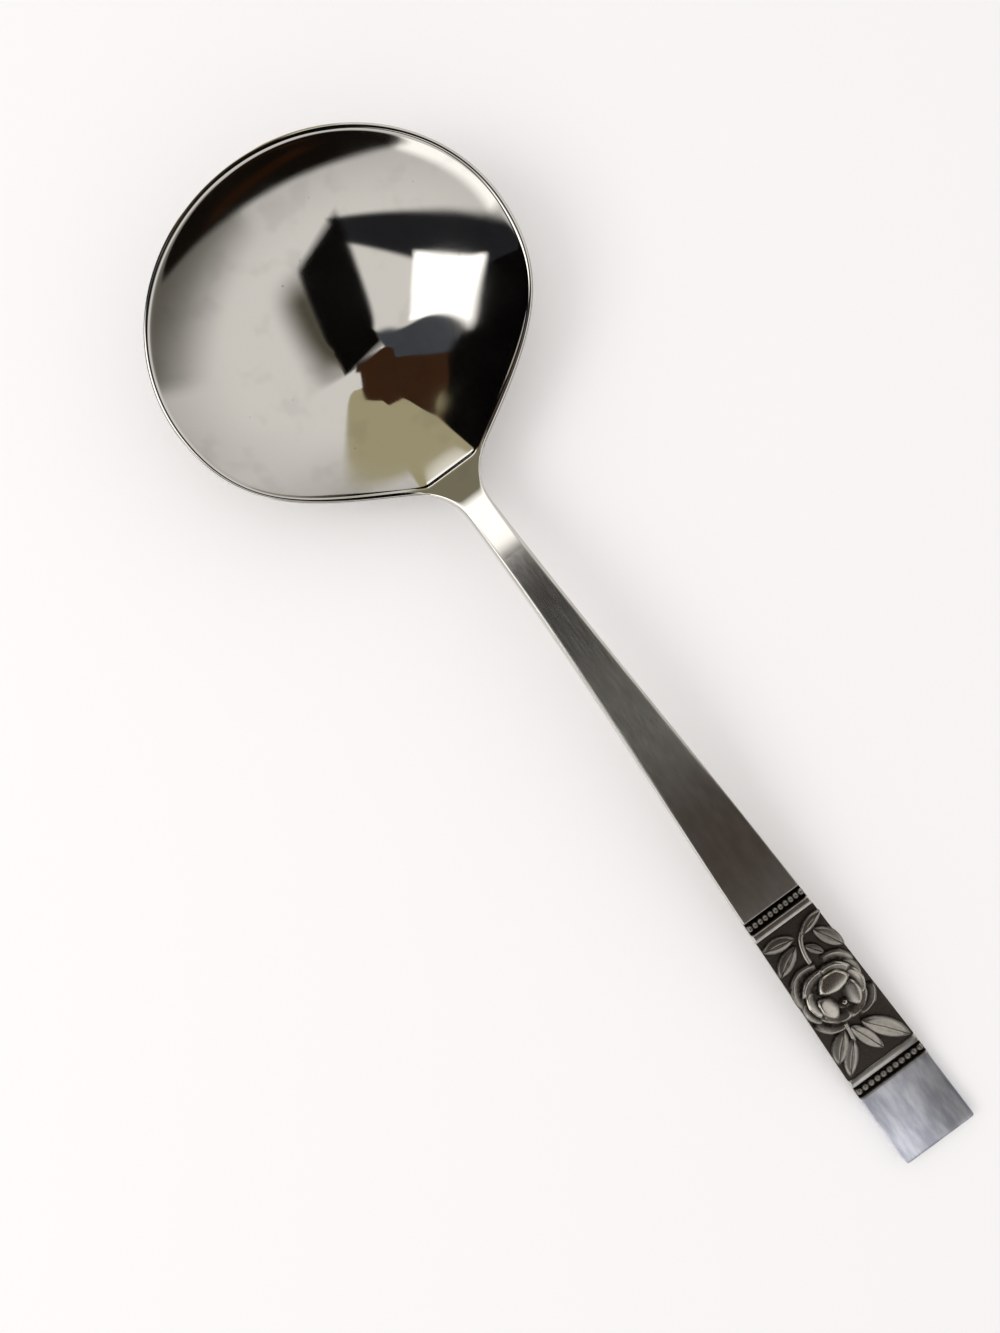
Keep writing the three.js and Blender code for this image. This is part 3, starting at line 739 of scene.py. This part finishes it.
# Each petal is its place, the way that its lip faces in degrees, its length and its width
outer_petals = (
    (-2.4, 4.6, 100, 3.6, 5.2), (-4.0, 3.0, 160, 3.4, 5.4), (3.1, 3.9, 48, 3.8, 5.1),
    (3.9, 1.5, 5, 3.0, 4.4), (3.2, -3.5, 308, 4.0, 5.1), (-3.0, -3.8, 235, 3.8, 5.5),
    (-4.3, -0.7, 190, 2.8, 4.6),
)
middle_petals = (
    (-1.9, 2.9, 115, 3.2, 4.8), (1.9, 2.8, 62, 3.2, 4.6), (3.4, -0.3, -5, 3.2, 4.8),
    (-3.2, 0.2, 178, 2.8, 4.6), (-1.7, -3.1, 238, 2.8, 4.8), (1.9, -3.3, 300, 2.8, 4.6),
)
bud_petals = ((-1.8, -1.5, 195, 3.2, 4.1), (2.1, -1.7, -12, 3.2, 4.2))
under_petal = (0, 0.2, 90, 10.6, 9.6)
front_petal = (0.7, 1.7, 268, 3.5, 5.0)
heart_petal = (0.15, -2.3, 250, 1.7, 1.9)
pearl = (0.37, -2.05, 90, 0.85, 0.85)
rose_mesh = new_relief()
# The under petal lies low beneath the others and is painted dark, as painted shade in the gaps between
# petals.
add_petal(rose_mesh, *under_petal, lip=0.3, heart=0.3)
for petal in outer_petals:
    add_petal(rose_mesh, *petal, lip=0.75, heart=0.3)
for petal in middle_petals:
    add_petal(rose_mesh, *petal, lip=0.95, heart=0.4)
for petal in bud_petals:
    add_petal(rose_mesh, *petal, lip=0.95, heart=0.3, cup=-0.12)
add_petal(rose_mesh, *front_petal, lip=1.05, heart=0.8, cup=-0.22)
add_petal(rose_mesh, *heart_petal, lip=0.7, heart=0.3)
add_petal(rose_mesh, *pearl, lip=0.85, heart=0.85, cup=-0.15)
rose = set_in_panel("rose_relief", rose_mesh)

# Struck stainless steel: blackened with the ground and rubbed bright again on what stands high, and painted
# darker where it lies low as painted shade, so each lip shows as a pale line with soft, dark hollows beside
# it
CLOUD = 0.5 * MM
CLOUD_DEPTH = 0.4
struck_steel, tree = new_material("struck_relief_steel")
place = add_node(tree, "ShaderNodeTexCoord").outputs["Object"]
cloud = add_node(tree, "ShaderNodeTexNoise", Vector=place, Scale=1 / CLOUD, Detail=4)
# Painted shade and real rubbing: the worn attribute makes high parts bright and low parts dark.
rubbed_and_painted_shade = add_node(tree, "ShaderNodeAttribute", {"attribute_name": "worn"})
uneven = add_node(tree, "ShaderNodeMath", {"operation": "MULTIPLY_ADD"}, _0=cloud.outputs["Fac"],
                  _1=CLOUD_DEPTH, _2=-CLOUD_DEPTH / 2)
bright = add_node(tree, "ShaderNodeMath", {"operation": "ADD", "use_clamp": True}, _0=rubbed_and_painted_shade.outputs["Fac"],
                  _1=uneven.outputs[0])
tone = add_node(tree, "ShaderNodeMix", COLOURS, Factor=bright.outputs[0],
                _6=linear("#2A241F"), _7=linear("#CCC6BC"))
rough = add_node(tree, "ShaderNodeMapRange", Value=bright.outputs[0], To_Min=0.45, To_Max=0.27)
shader = add_node(tree, "ShaderNodeBsdfPrincipled", Base_Color=tone.outputs[2], Metallic=1,
                  Roughness=rough.outputs[0])
add_node(tree, "ShaderNodeOutputMaterial", Surface=shader.outputs[0])


def finish_relief(piece, node):
    piece.data.materials.append(struck_steel)
    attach(piece, "root")
    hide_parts(node)


finish_relief(rose, "rose_bloom")


# Leaves. Two sprays lie above and below the rose, struck with it: pointed, swelling leaves with a sunk vein,
# on round stems that run in under the bloom.
LEAF_POINT = 0.6
LEAF_EDGE = 0.4
LEAF_VEIN = 0.2
LEAF_VEIN_WIDTH = (0.02, 0.16)
LEAF_ROLL = 0.25
LEAF_ROLL_FROM = 0.75
LEAF_SHADE_TO_RUBBED = (0.3, 0.85)
LEAF_SHINE = 0.75
STEM_SIDES = 12
STEM_LIFT = 0.2
STEM_SHINE = 0.85


def add_leaf(mesh, base, tip, width, height):
    """A leaf from its base to its tip, pointed at both ends."""
    base, tip = Vector(base), Vector(tip)
    run = tip - base

    def outline(along, across, reach):
        return along, across * (abs(across / reach) ** LEAF_POINT if reach > 1e-6 else 1)

    def rise(along, across, reach):
        vein = LEAF_VEIN * (1 - smooth(*LEAF_VEIN_WIDTH, abs(across)))
        swell = sqrt(max(0, 1 - across * across))
        return height * lerp(LEAF_EDGE, 1, swell) - vein - LEAF_ROLL * smooth(LEAF_ROLL_FROM, 1, reach) ** 2

    # Painted shade: the vein and the low, rolled edges of the leaf are painted darker, on top of the
    # blackening; the swell is rubbed bright.
    def rub_and_shade(along, across, reach):
        return lerp(PAINTED_HOLLOW_SHADE, LEAF_SHINE, smooth(*LEAF_SHADE_TO_RUBBED, rise(along, across, reach)))

    add_blade(mesh, (base + tip) / 2, atan2(run.y, run.x), run.length, width, outline, rise, rub_and_shade)


def add_stem(mesh, points, radius):
    """A round stem through a few points, partly sunk in the ground."""
    worn = mesh.verts.layers.float["worn"]
    path = [Vector((x, y, 0)) for x, y in points]
    sides = []
    for index in range(len(path)):
        run = path[min(index + 1, len(path) - 1)] - path[max(index - 1, 0)]
        sides.append(Vector((run.y, -run.x, 0)).normalized())
    ring = bmesh.ops.create_circle(mesh, cap_ends=True, radius=radius, segments=STEM_SIDES)["verts"]
    edges = list({edge for vert in ring for edge in vert.link_edges})
    for vert in ring:
        vert[worn] = STEM_SHINE
        vert.co = path[0] + sides[0] * vert.co.x + Vector((0, 0, RELIEF_FOOT + STEM_LIFT + vert.co.y))
    for index in range(1, len(path)):
        verts = set(new_verts(bmesh.ops.extrude_edge_only(mesh, edges=edges)))
        for vert in verts:
            across = (vert.co - path[index - 1]).dot(sides[index - 1])
            vert.co = path[index] + sides[index] * across + Vector((0, 0, vert.co.z))
        edges = [edge for edge in mesh.edges if verts.issuperset(edge.verts)]
    bmesh.ops.edgeloop_fill(mesh, edges=edges)


def make_spray(name, leaves, stem, stem_radius, node):
    spray = new_relief()
    for leaf in leaves:
        add_leaf(spray, *leaf)
    add_stem(spray, stem, stem_radius)
    finish_relief(set_in_panel(name, spray), node)


# Each leaf is its base, its tip, its width and its height
upper_leaves = (
    ((-0.2, 10.9), (-5.2, 12.0), 2.6, 0.75),
    ((0.9, 10.7), (5.3, 12.2), 1.9, 0.85),
    ((2.9, 10.4), (5.4, 5.4), 2.6, 0.75),
    ((0.4, 9.0), (2.3, 6.2), 1.7, 0.65),
    ((-0.7, 9.8), (-5.4, 7.0), 2.8, 0.7),
)
upper_stem = ((-0.4, 6.2), (-0.35, 7.2), (-0.2, 8.2), (0.1, 9.3), (0.6, 10.3), (1.3, 10.9))
make_spray("upper_leaves", upper_leaves, upper_stem, 0.42, "upper_leaf_spray")
lower_leaves = (
    ((-2.2, -5.9), (-5.9, -10.0), 3.0, 0.75),
    ((-1.7, -7.8), (-5.5, -12.7), 2.6, 0.8),
    ((-1.0, -6.0), (1.2, -12.0), 2.6, 0.85),
    ((0.8, -6.2), (5.7, -12.8), 3.2, 0.9),
)
lower_stem = ((-1.4, -5.2), (-1.5, -6.2), (-1.6, -7.2), (-1.8, -8.3))
make_spray("lower_leaves", lower_leaves, lower_stem, 0.4, "lower_leaf_spray")


# Bead borders. A row of round beads is struck in each groove, of the same steel as the handle, and runs from
# edge to edge of it. Each row is drawn as a beaded wire, with its under side sunk in the floor of the groove.
BEADS = 11
BEAD_RADIUS = 0.52
BEAD_NECK = 0.2
BEAD_END = 0.01
BEAD_FULLNESS = 0.7
BEAD_SHINE = 0.7
BEAD_STEPS = 8
BEAD_SIDES = 20
BEAD_LIFT = 0.12


def make_border(name, y, node):
    """A row of beads across the handle, spun from its outline."""
    half = handle_half(ornament_mid - y * cos(slope))
    pitch = 2 * half / BEADS
    row = new_relief()
    worn = row.verts.layers.float["worn"]
    end = row.verts.new((-half, 0, BEAD_END))
    for step in range(1, BEADS * BEAD_STEPS + 1):
        swell = lerp(BEAD_NECK, BEAD_RADIUS, abs(sin(step / BEAD_STEPS * pi)) ** BEAD_FULLNESS)
        end = bmesh.ops.extrude_vert_indiv(row, verts=[end])["verts"][0]
        end.co = (-half + step / BEAD_STEPS * pitch, 0, swell)
        # Painted shade: the necks between beads are painted dark, on top of the blackening; the tops are
        # rubbed bright.
        end[worn] = BEAD_SHINE * smooth(BEAD_NECK, BEAD_RADIUS, swell) ** 2
    end.co.z = BEAD_END
    bmesh.ops.spin(row, geom=row.verts[:] + row.edges[:], axis=(1, 0, 0), cent=(0, 0, 0), angle=2 * pi,
                   steps=BEAD_SIDES, use_merge=True)
    bmesh.ops.remove_doubles(row, verts=row.verts, dist=BEAD_END / 2)
    bmesh.ops.translate(row, verts=row.verts, vec=(0, y, BEAD_LIFT - groove_depth))
    finish_relief(set_in_panel(name, row, crisp=False), node)


make_border("upper_beads", groove_mid, "upper_bead_border")
make_border("lower_beads", -groove_mid, "lower_bead_border")


# Stage. A plain pale floor of white paper and soft light all round, with one softbox. Polished steel has only
# the look of what it mirrors, so dark, grey, olive, umber and white cards hang round the ladle; they show in
# it as reflections and light nothing.
FLOOR_SIZE = 6.0
SKY_LEVELS = {"From_Min": 0, "From_Max": 0.6, "To_Min": 0.6, "To_Max": 0.95}
BACKDROP_LEVEL = 0.93
sheet = bmesh.new()
bmesh.ops.create_grid(sheet, x_segments=1, y_segments=1, size=FLOOR_SIZE / 2)
floor = add_piece("pale_floor", sheet)
# White paper: matt, so that it takes the soft shadow of the ladle and mirrors nothing
paper, tree = new_material("white_paper")
shader = add_node(tree, "ShaderNodeBsdfDiffuse", Color=linear("#F7F5F5"))
add_node(tree, "ShaderNodeOutputMaterial", Surface=shader.outputs[0])
floor.data.materials.append(paper)

world = bpy.data.worlds.new("soft_studio")
bpy.context.scene.world = world
world.use_nodes = True
tree = world.node_tree
tree.nodes.clear()
looking = add_node(tree, "ShaderNodeTexCoord").outputs["Generated"]
towards = add_node(tree, "ShaderNodeSeparateXYZ", Vector=looking)
height = add_node(tree, "ShaderNodeMapRange", SOFT_STEP, Value=towards.outputs["Z"], **SKY_LEVELS)
seen = add_node(tree, "ShaderNodeLightPath").outputs["Is Camera Ray"]
level = add_node(tree, "ShaderNodeMix", Factor=seen, A=height.outputs[0], B=BACKDROP_LEVEL)
sky = add_node(tree, "ShaderNodeBackground", Color=linear("#FDFCFB"), Strength=level.outputs[0])
add_node(tree, "ShaderNodeOutputWorld", Surface=sky.outputs[0])


def towards_sky(azimuth, zenith):
    """A direction from the bowl, in degrees round from +X and down from overhead."""
    a, z = radians(azimuth), radians(zenith)
    return Vector((sin(z) * cos(a), sin(z) * sin(a), cos(z)))


CARD_CELLS = 24


def add_card(name, colour, corners, soft_side, soft_end, strength=1.0, one_sided=False):
    """A hanging card between four corners in metres, whose edges fade over shares of its width and length."""
    card_mesh = bmesh.new()
    cover = card_mesh.verts.layers.float.new("cover")
    bmesh.ops.create_grid(card_mesh, x_segments=CARD_CELLS, y_segments=CARD_CELLS, size=1)
    for vert in card_mesh.verts:
        u, v = vert.co.x, vert.co.y
        low = corners[0].lerp(corners[1], (u + 1) / 2)
        high = corners[3].lerp(corners[2], (u + 1) / 2)
        vert[cover] = smooth(0, 2 * soft_side, 1 - abs(u)) * smooth(0, 2 * soft_end, 1 - abs(v))
        vert.co = low.lerp(high, (v + 1) / 2)
    card = add_piece(name, card_mesh)
    cloth, tree = new_material(name)
    glow = add_node(tree, "ShaderNodeEmission", Color=linear(colour), Strength=strength)
    covered = add_node(tree, "ShaderNodeAttribute", {"attribute_name": "cover"})
    clear = add_node(tree, "ShaderNodeBsdfTransparent")
    faded = add_node(tree, "ShaderNodeMixShader", Fac=covered.outputs["Fac"], _1=clear.outputs[0],
                     _2=glow.outputs[0])
    if one_sided:
        behind = add_node(tree, "ShaderNodeNewGeometry").outputs["Backfacing"]
        faded = add_node(tree, "ShaderNodeMixShader", Fac=behind, _1=faded.outputs[0], _2=clear.outputs[0])
    add_node(tree, "ShaderNodeOutputMaterial", Surface=faded.outputs[0])
    card.data.materials.append(cloth)
    card.visible_camera = card.visible_diffuse = card.visible_shadow = False


# Far cards: colour, distance in metres, two soft shares, and each corner's azimuth and zenith
for name, colour, distance, soft_side, soft_end, *corners in (
    ("overhead_flag", "#0A0908", 1.0, 0.1, 0.08, (247, 61), (278, 46), (48, 26), (122, 17)),
    ("top_flag", "#26262A", 1.02, 0.04, 0.15, (254, 58), (156, 78), (146, 60), (248, 45)),
    ("dim_card", "#5A564A", 1.06, 0.5, 0.3, (262, 50), (296, 52), (34, 40), (90, 20)),
    ("grey_card", "#4A4E55", 1.05, 0.06, 0.15, (175, 9), (140, 50), (116, 62), (101, 25)),
    ("low_flag", "#060505", 1.0, 0.06, 0.08, (158, 94), (103, 94), (103, 57), (164, 51)),
    ("umber_card", "#3F2818", 1.03, 0.04, 0.06, (58, 15), (110, 15), (123, 70), (66, 52)),
    ("olive_card", "#BAB392", 1.1, 0.05, 0.05, (113, 94), (62, 94), (51, 37), (100, 29)),
    ("dark_skirting", "#14100C", 1.2, 0.15, 0.12, (215, 94), (328, 94), (328, 88), (215, 75)),
    ("grey_skirting", "#6A6862", 1.22, 0.12, 0.5, (276, 108), (352, 108), (352, 62), (276, 66)),
):
    add_card(name, colour, [towards_sky(*corner) * distance for corner in corners], soft_side, soft_end)
# White cards: distance, strength and corners
WHITE_SOFT = 0.08
for name, distance, strength, *corners in (
    ("low_white_card", 0.85, 1.6, (104, 94), (78, 94), (78, 65), (104, 65)),
    ("white_card", 1.2, 1.6, (226, 94), (172, 94), (174, 65), (226, 75)),
    ("window_card", 0.6, 2.6, (198, 43), (163, 60), (128, 57), (152, 24)),
):
    places = [towards_sky(*corner) * distance for corner in corners]
    add_card(name, "#FFFFFF", places, WHITE_SOFT, WHITE_SOFT, strength)
# Small cards close over the handle: colour, soft share, and corners in millimetres
for name, colour, soft, *corners in (
    ("shank_flag", "#2A180C", 0.2, (-40, -82, 32), (44, -82, 32), (44, -137, 32), (-40, -137, 32)),
    ("tip_side_flag", "#1A1614", 0.3, (1, -136, 13), (24, -136, 13), (24, -164, 13), (1, -164, 13)),
    ("tip_end_flag", "#1A1614", 0.1, (-9, -157, 1), (16, -157, 1), (16, -157, 7), (-9, -157, 7)),
    ("tip_card", "#E2E3E8", 0.2, (-18, -141, 10), (2, -141, 10), (2, -164, 10), (-18, -164, 10)),
):
    add_card(name, colour, [Vector(corner) * MM for corner in corners], soft, soft)
# Upright cards that face the handle, so that the neck mirrors them and the bowl does not
FACING_HALF = 12
FACING_SOFT = (0.1, 0.08)
for name, colour, strength, y, low, high in (
    ("neck_card", "#FFFFFF", 1.8, -21, 20, 58),
    ("shoulder_card", "#8A8672", 1.0, -20.8, 10.2, 24),
):
    corners = ((-FACING_HALF, y, low), (FACING_HALF, y, low), (FACING_HALF, y, high), (-FACING_HALF, y, high))
    places = [Vector(corner) * MM for corner in corners]
    add_card(name, colour, places, *FACING_SOFT, strength, one_sided=True)

SOFTBOX_SIZE = 0.305
SOFTBOX_WATTS = 0.75
SOFTBOX_DISTANCE = 0.6
SOFTBOX_TOWARDS = (160, 41.5)
softbox = bpy.data.lights.new("softbox", "AREA")
softbox.shape = "SQUARE"
softbox.size = SOFTBOX_SIZE
softbox.energy = SOFTBOX_WATTS
lamp = bpy.data.objects.new("softbox", softbox)
bpy.context.scene.collection.objects.link(lamp)
away = towards_sky(*SOFTBOX_TOWARDS)
facing = away.to_track_quat("Z", "Y").to_matrix().to_4x4()
lamp.matrix_world = Matrix.Translation(away * SOFTBOX_DISTANCE) @ facing
lamp.visible_camera = lamp.visible_glossy = False

# Camera. It looks straight down, as the photograph does, with a focal length given in that frame's pixels.
SENSOR = 36
FRAME_PIXELS = 1333
FOCAL_PIXELS = 1100
CAMERA_PLACE = (-0.01126, -0.04986, 0.1702)
CAMERA_TURN = radians(-36.48)
camera = bpy.data.objects.new("camera", bpy.data.cameras.new("camera"))
bpy.context.scene.collection.objects.link(camera)
camera.data.sensor_width = SENSOR
camera.data.lens = SENSOR * FOCAL_PIXELS / FRAME_PIXELS
camera.data.clip_start = 0.005
camera.location = CAMERA_PLACE
camera.rotation_euler = (0, 0, CAMERA_TURN)
bpy.context.scene.camera = camera
bpy.context.scene.view_settings.view_transform = "Standard"
